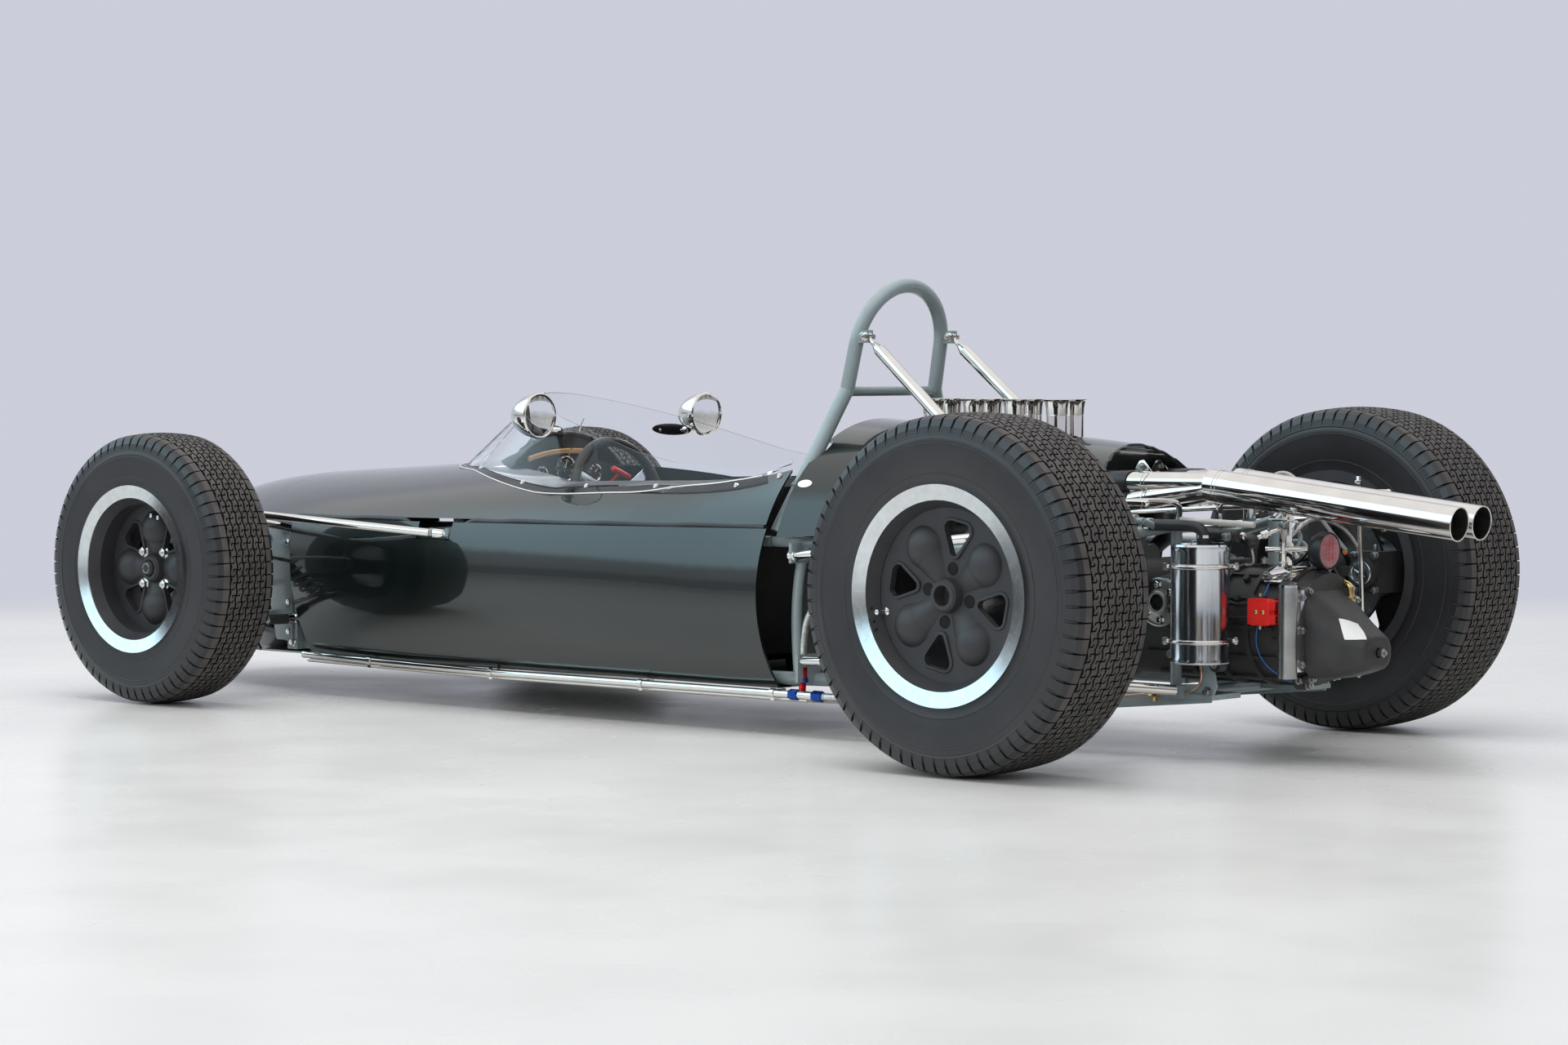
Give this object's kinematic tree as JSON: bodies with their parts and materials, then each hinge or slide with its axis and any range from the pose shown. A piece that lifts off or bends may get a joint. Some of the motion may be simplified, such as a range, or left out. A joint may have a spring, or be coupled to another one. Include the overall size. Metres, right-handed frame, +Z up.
{
  "type": "open wheel racing car",
  "caption": "Single seat open wheel racing car with a slim body, exposed engine intakes, roll hoop, twin tail pipes and cast wheels on treaded tyres; wheels roll and steer.",
  "frame": {"origin": "on the floor, below the centre of the bounding box", "axes": "+X forward to the nose, +Y to the driver's left, +Z up"},
  "size_m": [3.5635, 1.489, 0.9279],
  "materials": {
    "body_green": "gloss",
    "undertray_metal": "satin",
    "chassis_grey": "satin",
    "tyre": "matte",
    "magnesium": "matte",
    "chrome": "polished",
    "steel": "satin",
    "casting": "matte",
    "clear": "clear",
    "seat": "satin",
    "black": "satin",
    "aluminium": "polished",
    "lamp": "gloss",
    "red": "satin"
  },
  "bodies": {
    "chassis": {"nose_cone": "body_green", "upper_cowl": "body_green", "side_panel_left": "body_green", "side_panel_right": "body_green", "engine_cover": "body_green", "undertray": "undertray_metal", "firewall": "undertray_metal", "roll_hoop": "chassis_grey", "lower_rails": "chassis_grey", "upper_rails": "chassis_grey", "front_frame": "chassis_grey", "rear_frame": "chassis_grey", "hoop_stays": "chrome", "front_arms": "chrome", "rear_links": "chrome", "exhaust_left": "chrome", "exhaust_right": "chrome", "intake_trumpets": "chrome", "mirrors": "chrome", "side_pipes": "chrome", "gearbox_case": "casting", "gearbox_cover": "casting", "engine_block": "casting", "rear_uprights": "casting", "rack_housing": "casting", "windscreen": "clear", "seat": "seat", "dash_hood": "black", "dash_panel": "black", "front_dampers": "black", "rear_dampers": "black", "radiator": "black", "catch_tank": "aluminium", "breather_tube": "aluminium", "tail_lamp": "lamp", "battery_connector": "red"},
    "front_wheel_left": {"front_tyre_left": "tyre", "front_rim_left": "magnesium", "front_hub_left": "steel"},
    "front_wheel_right": {"front_tyre_right": "tyre", "front_rim_right": "magnesium", "front_hub_right": "steel"},
    "rear_wheel_left": {"rear_tyre_left": "tyre", "rear_rim_left": "magnesium", "drive_shaft_left": "steel"},
    "rear_wheel_right": {"rear_tyre_right": "tyre", "rear_rim_right": "magnesium", "drive_shaft_right": "steel"},
    "knuckle_left_body": {"knuckle_left": "casting"},
    "knuckle_right_body": {"knuckle_right": "casting"},
    "steering_rack": {"tie_rods": "steel"},
    "steering_shaft": {"steering_wheel": "black", "steering_column": "steel"}
  },
  "joints": [
    {"name": "steer_left", "type": "hinge", "parent": "chassis", "child": "knuckle_left_body", "pos_m": [1.191, 0.548, 0.3], "axis": [0, 0, 1], "range_deg": [-14, 14]},
    {"name": "steer_right", "type": "hinge", "parent": "chassis", "child": "knuckle_right_body", "pos_m": [1.191, -0.548, 0.3], "axis": [0, 0, 1], "range_deg": [-14, 14]},
    {"name": "rack_slide", "type": "slide", "parent": "chassis", "child": "steering_rack", "axis": [0, 1, 0], "range_m": [-0.0187, 0.0187]},
    {"name": "steering_turn", "type": "hinge", "parent": "chassis", "child": "steering_shaft", "pos_m": [0.41, 0, 0.452], "axis": [-0.9703, 0, 0.2419], "range_deg": [-170, 170]},
    {"name": "front_left_spin", "type": "hinge", "parent": "knuckle_left_body", "child": "front_wheel_left", "pos_m": [1.191, 0.6545, 0.3], "axis": [0, 1, 0], "continuous": true},
    {"name": "front_right_spin", "type": "hinge", "parent": "knuckle_right_body", "child": "front_wheel_right", "pos_m": [1.191, -0.6545, 0.3], "axis": [0, 1, 0], "continuous": true},
    {"name": "rear_left_spin", "type": "hinge", "parent": "chassis", "child": "rear_wheel_left", "pos_m": [-1.12, 0.6265, 0.332], "axis": [0, 1, 0], "continuous": true},
    {"name": "rear_right_spin", "type": "hinge", "parent": "chassis", "child": "rear_wheel_right", "pos_m": [-1.12, -0.6265, 0.332], "axis": [0, 1, 0], "continuous": true}
  ],
  "couplings": [
    {"joint": "steer_right", "follows": "steer_left", "ratio": 1},
    {"joint": "rack_slide", "follows": "steer_left", "m_per_rad": 0.076},
    {"joint": "steering_turn", "follows": "steer_left", "ratio": 12}
  ]
}
